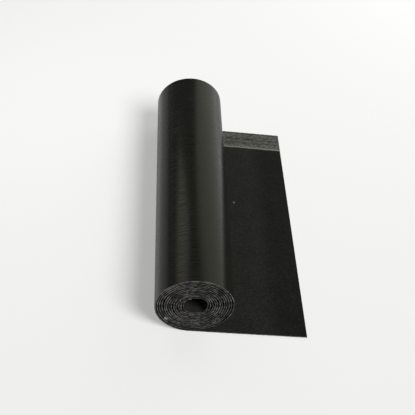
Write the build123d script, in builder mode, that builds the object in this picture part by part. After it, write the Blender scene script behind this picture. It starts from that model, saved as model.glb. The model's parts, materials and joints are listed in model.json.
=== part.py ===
"""A loosely wound roll of valley underlay, lying on its side with its outer end rolled out flat.

The underlay is one thick black sheet, wound up without a core. It is wound in half turns about two
centres that lie half a pitch apart, so that every turn runs on into the next one and the turns make
one continuous spiral. Between the turns is air. The gaps are cut in from both ends only, as deep as
anyone can see, and the middle of the roll is left solid. Along one edge the sheet carries a lighter
lap strip, let in flush with its upper face.

All sizes are in millimetres. +Y runs along the roll, +X along the flat tail and +Z up. The origin is
on the floor, in the middle of the whole outline.
"""

import os

from build123d import *

# The sheet
sheet_width = 1000.0
sheet_thickness = 4.0

# The winding
bore_diameter = 69.0
turn_count = 13
turn_gap = 3.15
gap_depth = 15.0

# The flat tail, from the line where the roll rests to its cut end
tail_length = 380.0

# The lap strip along the sheet's far edge
strip_width = 97.0
strip_thickness = 0.8

# What follows from those sizes
turn_pitch = sheet_thickness + turn_gap
bore_radius = bore_diameter / 2
roll_radius = bore_radius + turn_count * turn_pitch - turn_gap
roll_x = (roll_radius - tail_length) / 2
strip_y = sheet_width / 2 - strip_width / 2


def turn_section(centre_z, outer_radius, radial_dir):
    """The section that half the roll is turned from, drawn from its own centre along radial_dir."""
    inner_radius = bore_radius - turn_pitch
    section_plane = Plane(
        origin=(roll_x, 0, centre_z),
        x_dir=radial_dir,
        z_dir=radial_dir.cross(Vector(0, 1, 0)),
    )
    gap_radii = [
        outer_radius - sheet_thickness - turn_gap / 2 - turn * turn_pitch
        for turn in range(turn_count - 1)
    ]
    gap_y = sheet_width / 2 - gap_depth / 2
    with BuildSketch(section_plane) as section:
        with Locations(((inner_radius + outer_radius) / 2, 0)):
            Rectangle(outer_radius - inner_radius, sheet_width)
        with Locations([(radius, side * gap_y) for radius in gap_radii for side in (-1, 1)]):
            Rectangle(turn_gap, gap_depth, mode=Mode.SUBTRACT)
    return section.sketch


# The left half is turned from the floor up to the top, about the roll's own axis
left_axis = Axis((roll_x, 0, roll_radius), (0, 1, 0))
left_section = turn_section(roll_radius, roll_radius, Vector(0, 0, -1))

# The right half is turned from the top down onto the tail, about a centre half a pitch higher
right_axis = Axis((roll_x, 0, roll_radius + turn_pitch / 2), (0, 1, 0))
right_section = turn_section(
    roll_radius + turn_pitch / 2, roll_radius - turn_pitch / 2, Vector(0, 0, 1)
)

# The sheet: the two wound halves, the bore through them and the tail, all in one piece
with BuildPart() as underlay_roll:
    revolve(left_section, axis=left_axis, revolution_arc=180)
    revolve(right_section, axis=right_axis, revolution_arc=180)
    with Locations(Plane(origin=(roll_x, -sheet_width / 2, roll_radius), z_dir=(0, -1, 0))):
        Hole(bore_radius)
    with BuildSketch(Plane.XY):
        with Locations((roll_x, 0)):
            Rectangle(tail_length, sheet_width, align=(Align.MIN, Align.CENTER))
    extrude(amount=sheet_thickness)
    # The seat that the lap strip lies in
    with BuildSketch(Plane.XY.offset(sheet_thickness - strip_thickness)):
        with Locations((roll_x, strip_y)):
            Rectangle(tail_length, strip_width, align=(Align.MIN, Align.CENTER))
    extrude(amount=strip_thickness, mode=Mode.SUBTRACT)
underlay_roll.part.label = "underlay_roll"

# The lap strip, as far as it shows: the rest of it is wound in
with BuildPart() as lap_strip:
    with BuildSketch(Plane.XY.offset(sheet_thickness - strip_thickness)):
        with Locations((roll_x, strip_y)):
            Rectangle(tail_length, strip_width, align=(Align.MIN, Align.CENTER))
    extrude(amount=strip_thickness)
lap_strip.part.label = "lap_strip"

os.makedirs("parts", exist_ok=True)
for piece in (underlay_roll, lap_strip):
    export_step(piece.part, f"parts/{piece.part.label}.step")
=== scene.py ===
"""A roll of valley underlay on a pale floor: the sheet and its winding, lap strip, floor, lamps and camera.

Everything is in metres. +Y runs along the roll, +X along the flat tail and +Z up. The sizes of the sheet
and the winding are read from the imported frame, so the roll seen here is as large as the one built.
"""

import json
import math

import bpy
from mathutils import Matrix, Vector


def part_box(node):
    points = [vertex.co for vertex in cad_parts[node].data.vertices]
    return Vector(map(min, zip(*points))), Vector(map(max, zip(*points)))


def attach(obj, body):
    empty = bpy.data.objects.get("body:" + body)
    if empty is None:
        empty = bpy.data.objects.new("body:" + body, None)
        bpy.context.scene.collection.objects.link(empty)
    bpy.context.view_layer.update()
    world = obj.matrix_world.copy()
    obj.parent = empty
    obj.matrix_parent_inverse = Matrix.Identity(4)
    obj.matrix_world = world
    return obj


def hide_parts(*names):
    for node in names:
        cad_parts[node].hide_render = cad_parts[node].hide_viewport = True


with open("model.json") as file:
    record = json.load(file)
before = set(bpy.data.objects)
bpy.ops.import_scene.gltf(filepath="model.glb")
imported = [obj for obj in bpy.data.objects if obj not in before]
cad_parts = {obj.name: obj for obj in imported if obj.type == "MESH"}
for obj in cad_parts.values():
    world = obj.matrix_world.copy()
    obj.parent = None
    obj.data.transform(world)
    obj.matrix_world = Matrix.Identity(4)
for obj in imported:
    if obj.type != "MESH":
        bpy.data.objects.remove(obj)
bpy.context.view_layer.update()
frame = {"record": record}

# The sheet: one black polymer-bitumen sheet, satin on its underside, matt and finely woven on top. It is
# wound up without a core from its inner end, and the last stretch is left flat. The slitting knife leaves
# its edges paler than its faces, and the turns lie loosely, so no gap is quite like the next.

sheet_low, sheet_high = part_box("underlay_roll")
strip_low, strip_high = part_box("lap_strip")
bore_mount = next(mount for mount in frame["record"]["mounts"] if mount["name"] == "bore")
bore_radius = bore_mount["dims"]["r_mm"] / 1000
roll_radius = sheet_high.z / 2
roll_x = sheet_low.x + roll_radius
tail_length = sheet_high.x - roll_x
half_width = sheet_high.y
sheet_thickness = strip_high.z
turn_count = 13
turn_pitch = (roll_radius - bore_radius - sheet_thickness) / (turn_count - 1)
turn_gap = turn_pitch - sheet_thickness

# The inner end lies at the upper left of the bore, just before the last half turn would begin
end_share = 0.56
wound_turns = turn_count - end_share
# How far a turn may wander in or out: two neighbours together stay inside the gap between them
turn_slack = turn_gap * 0.42
# The strip is bonded on, and stands this much proud of the sheet and past its far edge
strip_proud = 0.00025

# How finely the sheet is divided
steps_per_turn = 96
tail_steps = 24
steps_across = 21


class Socket:
    """A node's output, used in plain arithmetic: each operator adds the Math node that it stands for."""

    def __init__(self, tree, output=None):
        self.tree = tree
        self.output = output

    def add(self, kind, settings=(), inputs=(), output=0):
        """Adds a node: its settings first, then the values or links of its inputs, and gives one output."""
        node = self.tree.nodes.new(kind)
        for name, value in dict(settings).items():
            setattr(node, name, value)
        for name, value in dict(inputs).items():
            if isinstance(value, Socket):
                self.tree.links.new(value.output, node.inputs[name])
            else:
                node.inputs[name].default_value = value
        return Socket(self.tree, node.outputs[output]) if node.outputs else None

    def math(self, operation, *others):
        values = (self, *others)
        return self.add("ShaderNodeMath", {"operation": operation}, dict(enumerate(values)))

    def __add__(self, other):
        return self.math("ADD", other)

    def __sub__(self, other):
        return self.math("SUBTRACT", other)

    def __rsub__(self, other):
        return self.math("MULTIPLY", -1.0).math("ADD", other)

    def __mul__(self, other):
        return self.math("MULTIPLY", other)

    def __truediv__(self, other):
        return self.math("DIVIDE", other)

    __radd__ = __add__
    __rmul__ = __mul__

    def ramp(self, low, high):
        """Rises smoothly from 0 at low to 1 at high."""
        inputs = {"Value": self, "From Min": low, "From Max": high}
        return self.add("ShaderNodeMapRange", {"interpolation_type": "SMOOTHSTEP"}, inputs)

    def clamp(self):
        return self.add("ShaderNodeClamp", inputs={"Value": self})

    def line(self, middle, half_wide):
        """1 where the value is middle, falling smoothly to 0 at half_wide from it."""
        return (self - middle).math("ABSOLUTE").ramp(half_wide, 0.0)

    def part(self, axis):
        """A vector's X, Y or Z."""
        return self.add("ShaderNodeSeparateXYZ", inputs={"Vector": self}, output=axis)

    def stretch(self, x, y, z):
        """The point at which a pattern that is finer by these factors is read."""
        return self.add("ShaderNodeMapping", inputs={"Vector": self, "Scale": (x, y, z)})

    def spot(self, place, radius):
        """1 at a place, falling smoothly to 0 at a radius from it."""
        inputs = {0: self, 1: place}
        distance = self.add("ShaderNodeVectorMath", {"operation": "DISTANCE"}, inputs, output="Value")
        return distance.ramp(radius, radius * 0.4)

    def from_axis(self):
        """How far a point is from the roll's axis."""
        apart = self.part("X") - roll_x
        above = self.part("Z") - roll_radius
        return (apart * apart + above * above).math("SQRT")

    def mix(self, low, high):
        """One colour where the value is 0 and the other where it is 1."""
        return self.add("ShaderNodeMix", {"data_type": "RGBA"}, {0: self, 6: low, 7: high}, output=2)

    def vector(self, x=0.0, y=0.0, z=0.0):
        return self.add("ShaderNodeCombineXYZ", inputs={"X": x, "Y": y, "Z": z})

    def noise(self, scale=1.0, detail=0.0):
        """Noise over a vector, about zero and between roughly -0.5 and 0.5."""
        inputs = {"Vector": self, "Scale": scale, "Detail": detail}
        return self.add("ShaderNodeTexNoise", inputs=inputs) - 0.5


def winding_tree():
    """The rule that a layer of the sheet is wound by, as a tree that bends a flat grid into place.

    A layer runs along the flat tail to the line where the roll rests, and then winds up in half turns about
    two centres half a pitch apart. Lay is how deep the layer's own middle lies in the sheet.
    """
    tree = bpy.data.node_groups.new("winding", "GeometryNodeTree")
    sizes = ("Roll Radius", "Roll X", "Pitch", "Gap", "Tail Length", "Lay", "Low Edge", "High Edge", "Slack")
    counts = ("Turn Steps", "Tail Steps", "Wound Steps", "Across Steps")
    tree.interface.new_socket("Geometry", in_out="INPUT", socket_type="NodeSocketGeometry")
    for name in sizes:
        tree.interface.new_socket(name, in_out="INPUT", socket_type="NodeSocketFloat")
    for name in counts:
        tree.interface.new_socket(name, in_out="INPUT", socket_type="NodeSocketInt")
    tree.interface.new_socket("Material", in_out="INPUT", socket_type="NodeSocketMaterial")
    tree.interface.new_socket("Geometry", in_out="OUTPUT", socket_type="NodeSocketGeometry")
    group_input = tree.nodes.new("NodeGroupInput")
    build = Socket(tree)

    def given(name):
        return Socket(tree, group_input.outputs[name])

    steps = given("Tail Steps") + given("Wound Steps")
    flat = {"Size X": 1.0, "Size Y": 2.0, "Vertices X": steps + 1, "Vertices Y": given("Across Steps") + 1}
    grid = build.add("GeometryNodeMeshGrid", inputs=flat)
    place = build.add("GeometryNodeInputPosition")
    share = place.part("X") + 0.5
    side = place.part("Y")

    # Where a point is along the sheet
    step = share * steps
    angle = (step - given("Tail Steps")).math("MAXIMUM", 0.0) * (2 * math.pi) / given("Turn Steps")
    tail_share = ((given("Tail Steps") - step) / given("Tail Steps")).math("MAXIMUM", 0.0)
    half_turn = (angle / math.pi).math("FLOOR")
    centre_z = given("Roll Radius") + half_turn.math("MODULO", 2.0) * given("Pitch") * 0.5

    # Where it is across the sheet, with the steps closer together towards both edges
    crowded = side * (1.5 - side * side * 0.5)
    middle = (given("Low Edge") + given("High Edge")) * 0.5
    across = middle + crowded * (given("High Edge") - given("Low Edge")) * 0.5

    # The turns lie loosely, apart from the outermost, which holds the roll's size. Each wanders in and out
    # along its way, neighbours drift the same way where they lie upon each other, and a fine ripple is left.
    loose = angle.ramp(1.7 * math.pi, 3.4 * math.pi)
    wander = build.vector(angle * 1.3, across * 2.2, 3.7).noise() * given("Slack") * 2.0
    round_about = angle.math("SINE") * 1.1
    up_and_down = angle.math("COSINE") * 1.1 + angle * 0.05
    drift = build.vector(round_about, across * 1.4, up_and_down).noise() * given("Slack") * 2.0
    ripple = build.vector(angle * 5.0, across * 9.0, 6.2).noise() * given("Slack") * 0.7
    stray = (wander + drift + ripple) * loose
    radius = given("Roll Radius") - given("Lay") - half_turn * given("Pitch") * 0.5 + stray

    # Nothing holds the bore round: the four innermost turns lie flat below and square at the corners, and
    # the inner end springs out against the turn behind it
    fullness, squareness, flatness, spring = 0.02, 0.05, 0.11, 0.5
    end_angle = given("Wound Steps") / given("Turn Steps") * (2 * math.pi)
    inmost = angle.ramp(end_angle - 8.0 * math.pi, end_angle) * loose
    radius = radius * (1.0 + (fullness - (angle * 4.0).math("COSINE") * squareness) * inmost)
    radius = radius + angle.ramp(end_angle - 0.5 * math.pi, end_angle) * given("Gap") * spring * loose
    rise = (radius * angle.math("COSINE")).math("MAXIMUM", 0.0) * inmost * flatness

    # The tail lies almost flat
    highest_lift = 0.0016
    lift = (build.vector(tail_share * 2.1, across * 2.6, 8.1).noise() + 0.5) * highest_lift
    lifted = tail_share.ramp(0.15, 0.9) * lift

    # The edges of the turns stand in or out a little
    deepest_pull = 0.0032
    edge = side.math("ABSOLUTE").math("POWER", 6.0) * side.math("SIGN")
    pull = (build.vector(angle * 0.9, side.math("SIGN") * 5.0, 1.3).noise(detail=1.0) + 0.5) * deepest_pull
    x = given("Roll X") - radius * angle.math("SINE") + tail_share * given("Tail Length")
    y = across - edge * pull * angle.ramp(0.6 * math.pi, 3.0 * math.pi)
    z = centre_z - radius * angle.math("COSINE") + rise + lifted

    moved = {"Geometry": grid, "Position": build.vector(x, y, z)}
    wound = build.add("GeometryNodeSetPosition", inputs=moved)
    smooth = build.add("GeometryNodeSetShadeSmooth", inputs={"Geometry": wound})
    real = build.add("GeometryNodeRealizeInstances", inputs={"Geometry": smooth})
    done = build.add("GeometryNodeSetMaterial", inputs={"Geometry": real, "Material": given("Material")})
    group_output = tree.nodes.new("NodeGroupOutput")
    tree.links.new(done.output, group_output.inputs["Geometry"])
    return tree


winding = winding_tree()


def wind(name, thickness, lay, edges, across_steps, along_tail, wound_turns, materials):
    """Winds one layer as a plain mesh, then gives it its thickness and rounds its cut edges."""
    carrier = bpy.data.objects.new(name + "_carrier", bpy.data.meshes.new(name + "_carrier"))
    bpy.context.scene.collection.objects.link(carrier)
    modifier = carrier.modifiers.new("winding", "NODES")
    modifier.node_group = winding
    values = {
        "Roll Radius": roll_radius,
        "Roll X": roll_x,
        "Pitch": turn_pitch,
        "Gap": turn_gap,
        "Tail Length": tail_length,
        "Lay": lay,
        "Low Edge": edges[0],
        "High Edge": edges[1],
        "Slack": turn_slack,
        "Turn Steps": steps_per_turn,
        "Tail Steps": tail_steps if along_tail else 0,
        "Wound Steps": round(wound_turns * steps_per_turn),
        "Across Steps": across_steps,
        "Material": materials[0],
    }
    for item in winding.interface.items_tree:
        if item.in_out == "INPUT" and item.name in values:
            modifier[item.identifier] = values[item.name]
    evaluated = carrier.evaluated_get(bpy.context.evaluated_depsgraph_get())
    mesh = bpy.data.meshes.new_from_object(evaluated)
    mesh.name = name
    bpy.data.objects.remove(carrier)
    for material in materials[1:]:
        mesh.materials.append(material)
    layer = bpy.data.objects.new(name, mesh)
    bpy.context.scene.collection.objects.link(layer)

    body = layer.modifiers.new("thickness", "SOLIDIFY")
    body.thickness = thickness
    body.offset = 0.0
    body.use_even_offset = True
    body.material_offset = 1
    body.material_offset_rim = 2
    edge_share = 0.14
    rounding = layer.modifiers.new("knife_edge", "BEVEL")
    rounding.width = thickness * edge_share
    rounding.segments = 2
    rounding.limit_method = "ANGLE"
    rounding.angle_limit = math.radians(50)
    rounding.harden_normals = True
    return layer


# All the black faces shine a little warm
sheen_tint = (1.0, 1.0, 0.86, 1)


def start_material(name):
    """An empty node material, its builder, and the point in metres that its patterns are read at."""
    material = bpy.data.materials.new(name)
    material.use_nodes = True
    build = Socket(material.node_tree)
    build.tree.nodes.clear()
    return material, build, build.add("ShaderNodeTexCoord", output="Object")


def finish_material(build, colour, roughness, height, bump_depth, gloss, matt_share=None):
    """Joins colour, roughness and relief to one shader, from which the matt share takes the shine away.

    The relief's height runs from 0 to 1 over the bump depth.
    """
    bump = build.add("ShaderNodeBump", inputs={"Height": height, "Distance": bump_depth, "Strength": 1.0})
    inputs = {"Base Color": colour, "Roughness": roughness, "Normal": bump, "Specular IOR Level": gloss}
    inputs["Specular Tint"] = sheen_tint
    shader = build.add("ShaderNodeBsdfPrincipled", inputs=inputs)
    if matt_share is not None:
        shineless = inputs | {"Roughness": 1.0, "Specular IOR Level": 0.0}
        matt = build.add("ShaderNodeBsdfPrincipled", inputs=shineless)
        shader = build.add("ShaderNodeMixShader", inputs={0: matt_share, 1: shader, 2: matt})
    build.add("ShaderNodeOutputMaterial", inputs={"Surface": shader})


# The underside of the sheet is the outside of the roll. It is satin black and carries fine ribs from the
# calender, which run round the roll a few millimetres apart and are worn away in places. Both flanks are
# scuffed dull, the right one most of all, but less towards its far end.

under_face, build, point = start_material("under_face")
from_top = point.part("X") - roll_x
along = point.part("Y")

left_standing = point.noise(16.0, 1.0).ramp(-0.25, 0.2)
unworn = from_top.line(-0.035, 0.06) * 0.7 + 0.3
ribs = point.stretch(12.0, 230.0, 12.0).noise(1.0, 1.0) * (0.35 + left_standing * 0.65) * unworn
grain = point.noise(900.0, 2.0)
clouds = point.noise(9.0, 3.0)

# Where the scuffs begin and are full, in metres from above the roll's axis and along it
right_scuffs = (from_top - along * 0.045).ramp(0.086, 0.110) * along.ramp(0.36, 0.06)
far_scuffs = from_top.ramp(0.080, 0.100) * along.ramp(0.02, 0.26)
left_scuffs = from_top.ramp(-0.080, -0.090) * (1.0 - from_top.ramp(-0.108, -0.120) * 0.5)

finish_material(
    build,
    colour=(clouds + 0.5).mix((0.0045, 0.0046, 0.0037, 1), (0.0078, 0.0078, 0.0062, 1)),
    roughness=0.28 + clouds * 0.04 + ribs + right_scuffs * 0.60,
    height=ribs * 0.8 + grain * 0.2,
    bump_depth=0.0002,
    gloss=0.3,
    matt_share=right_scuffs * 0.68 + far_scuffs * 0.35 + left_scuffs * 0.42,
)

# The upper side is matt black, with a fine woven grain that is pressed in. Painted shade makes it darker
# towards the cut end, and painted light makes it paler in the bore. A crumb of something pale lies on the
# tail.

upper_face, build, point = start_material("upper_face")
weave = point.stretch(150.0, 210.0, 150.0).noise(1.0, 5.0)
grain = point.noise(900.0, 2.0)
clouds = point.noise(11.0, 3.0)
# Painted shade: the tail is darker towards its cut end
painted_shade_towards_end = (point.part("X") - roll_x).ramp(0.24, 0.31)
# Painted light: the upper face is paler inside the bore
painted_light_in_bore = point.from_axis().ramp(0.046, 0.038)
tone = (weave * 2.0 + clouds * 0.5 + 0.55 + painted_light_in_bore * 0.7 - painted_shade_towards_end * 0.42).clamp()
crumb = point.spot((roll_x + 0.174, 0.0905, sheet_thickness), 0.006)
black = tone.mix((0.0045, 0.0045, 0.0040, 1), (0.0215, 0.0213, 0.0192, 1))
finish_material(
    build,
    colour=crumb.mix(black, (0.12, 0.12, 0.11, 1)),
    roughness=0.6 + clouds * 0.08,
    height=weave * 0.6 + grain * 0.4,
    bump_depth=0.0004,
    gloss=0.12,
)

# The knife leaves a dull grey cut, paler where dust and fibre have caught on it and where the outermost turn
# has been rubbed, and darker towards the right side. A pale painted highlight sits low on the left of the
# near end.

cut_edge, build, point = start_material("cut_edge")
outermost = roll_radius - sheet_thickness
rubbed = point.from_axis().ramp(outermost - sheet_thickness * 0.2, outermost + sheet_thickness * 0.4)
dust = point.noise(95.0, 3.0)
patches = point.noise(22.0, 2.0)
grain = point.noise(700.0, 2.0)
# Darker towards the right side of the near end
darker_to_right = (point.part("X") - roll_x).ramp(0.01, 0.07)
tone = dust * 3.0 + patches * 1.7 + grain * 0.4 + 0.37 - darker_to_right * 0.12
tone = (tone + rubbed * (dust * 1.5 + 0.50)).clamp()
# A painted highlight: a pale spot low on the left of the near end
painted_highlight_spot = point.spot((roll_x - 0.083, -half_width, roll_radius - 0.068), 0.009)
grey = tone.mix((0.012, 0.0118, 0.0107, 1), (0.130, 0.127, 0.118, 1))
finish_material(
    build,
    colour=painted_highlight_spot.mix(grey, (0.50, 0.49, 0.46, 1)),
    roughness=0.75,
    height=grain + 0.5,
    bump_depth=0.0003,
    gloss=0.3,
)

underlay = wind(
    "underlay",
    thickness=sheet_thickness,
    lay=sheet_thickness / 2,
    edges=(sheet_low.y, half_width - strip_proud),
    across_steps=steps_across,
    along_tail=True,
    wound_turns=wound_turns,
    materials=(under_face, upper_face, cut_edge),
)
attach(underlay, "root")
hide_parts("underlay_roll")

# The lap strip is a band of grey striped non-woven, bonded into the upper face along the far edge, where
# the next sheet overlaps it. One piece lies on the tail and the other is wound in with the turns.

lap_face, build, point = start_material("lap_face")
from_edge = half_width - point.part("Y")
# Each dark line's distance from the far edge, half its width, and how dark it is
stripes = ((0.042, 0.006, 0.42), (0.062, 0.005, 0.34), (0.004, 0.005, 0.30), (0.0985, 0.004, 0.35))
dark_lines = sum(from_edge.line(middle, half_wide) * depth for middle, half_wide, depth in stripes)
# Painted highlight: a pale line near the strip's inner edge, where its raised edge would catch the light
painted_edge_highlight = from_edge.line(0.0910, 0.005)
fibre = point.stretch(90.0, 330.0, 90.0).noise(1.0, 5.0)
threads = point.stretch(5.0, 800.0, 5.0).noise(1.0, 1.0)
tone = (fibre * 2.4 + threads * 1.2 + 0.38 - dark_lines * 0.8 + painted_edge_highlight * 0.8).clamp()
finish_material(
    build,
    colour=tone.mix((0.020, 0.020, 0.017, 1), (0.190, 0.191, 0.166, 1)),
    roughness=0.85,
    height=fibre + 0.5 - dark_lines * 0.5,
    bump_depth=0.0006,
    gloss=0.25,
)

strip_thickness = strip_high.z - strip_low.z
strip = {
    "thickness": strip_thickness,
    "lay": sheet_thickness + strip_proud - strip_thickness / 2,
    "edges": (strip_low.y, half_width),
    "across_steps": 6,
    "materials": (lap_face, lap_face, lap_face),
}
lap_on_tail = wind("lap_on_tail", along_tail=True, wound_turns=0, **strip)
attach(lap_on_tail, "root")
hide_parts("lap_strip")

lap_wound_in = wind("lap_wound_in", along_tail=False, wound_turns=wound_turns, **strip)
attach(lap_wound_in, "root")

# The floor is one plain pale sheet, far wider than any view of the roll needs. It is partly plain white to
# the eye, so that the roll's shadow on it stays light.

floor_reach = 400.0
floor_mesh = bpy.data.meshes.new("floor")
corners = [(x * floor_reach, y * floor_reach, 0.0) for x, y in ((-1, -1), (1, -1), (1, 1), (-1, 1))]
floor_mesh.from_pydata(corners, [], [(0, 1, 2, 3)])
floor = bpy.data.objects.new("floor", floor_mesh)
bpy.context.scene.collection.objects.link(floor)
floor_paint, build, point = start_material("floor_paint")
paint = {"Base Color": (0.93, 0.93, 0.92, 1), "Roughness": 0.9, "Specular IOR Level": 0.1}
painted = build.add("ShaderNodeBsdfPrincipled", inputs=paint)
white = build.add("ShaderNodeEmission", inputs={"Color": (1, 1, 1, 1), "Strength": 1.0})
white_share = 0.35
seeing_rays = ("Is Camera Ray", "Is Glossy Ray", "Is Transmission Ray")
seen = sum(build.add("ShaderNodeLightPath", output=ray) for ray in seeing_rays)
shader = build.add("ShaderNodeMixShader", inputs={0: seen * white_share, 1: painted, 2: white})
build.add("ShaderNodeOutputMaterial", inputs={"Surface": shader})
floor_mesh.materials.append(floor_paint)

# Soft studio light: a dim even room, a broad key light from high up at the front right, and a panel beyond
# the roll on each side, which the satin face mirrors as its pale streaks.

studio = bpy.data.worlds.new("studio")
studio.use_nodes = True
room = Socket(studio.node_tree)
room.tree.nodes.clear()
dim_room = room.add("ShaderNodeBackground", inputs={"Color": (1, 1, 1, 1), "Strength": 0.13})
room.add("ShaderNodeOutputWorld", inputs={"Surface": dim_room})
bpy.context.scene.world = studio


def hang_lamp(lamp, azimuth, elevation, distance):
    """Hangs a lamp that faces the roll's middle. Azimuth 0 is beyond the roll's far end, and 90 is right."""
    across, up = math.radians(azimuth), math.radians(elevation)
    towards = Vector((math.cos(up) * math.sin(across), math.cos(up) * math.cos(across), math.sin(up)))
    holder = bpy.data.objects.new(lamp.name, lamp)
    bpy.context.scene.collection.objects.link(holder)
    holder.location = roll_middle + towards * distance
    holder.rotation_euler = (-towards).to_track_quat("-Z", "Y").to_euler()


def panel(name, azimuth, elevation, distance, width, height, radiance):
    """A soft box of a width and height in metres, whose face is as bright as a white of that strength."""
    lamp = bpy.data.lights.new(name, "AREA")
    lamp.shape = "RECTANGLE"
    lamp.size = width
    lamp.size_y = height
    lamp.energy = math.pi * width * height * radiance
    lamp.color = (1.0, 1.0, 0.9)
    hang_lamp(lamp, azimuth, elevation, distance)


roll_middle = Vector((roll_x, 0.0, roll_radius))
panel("right_panel", azimuth=39, elevation=28, distance=3.0, width=2.7, height=3.0, radiance=0.75)
panel("left_panel", azimuth=-51, elevation=44, distance=1.30, width=0.76, height=0.63, radiance=1.03)

key_light = bpy.data.lights.new("key_light", "SUN")
key_light.energy = 2.65
key_light.angle = math.radians(28)
hang_lamp(key_light, azimuth=138, elevation=51, distance=3.0)

# The camera stands as it did for the photograph: in front, above, and tilted a little on its own axis.

camera_place = (-0.2863 + roll_x, -1.4803 - half_width, 2.0321)
camera_down = math.radians(44.473)
camera_right = math.radians(10.046)
camera_tilt = math.radians(11.570)
camera_focal_mm = 68.6
camera_data = bpy.data.cameras.new("camera")
camera_data.sensor_width = 36.0
camera_data.lens = camera_focal_mm
camera_data.clip_end = 3 * floor_reach
camera = bpy.data.objects.new("camera", camera_data)
bpy.context.scene.collection.objects.link(camera)
turn = Matrix.Rotation(-camera_right, 4, "Z") @ Matrix.Rotation(math.pi / 2 - camera_down, 4, "X")
camera.matrix_world = Matrix.Translation(camera_place) @ turn @ Matrix.Rotation(camera_tilt, 4, "Z")
bpy.context.scene.camera = camera
bpy.context.scene.view_settings.view_transform = "Standard"
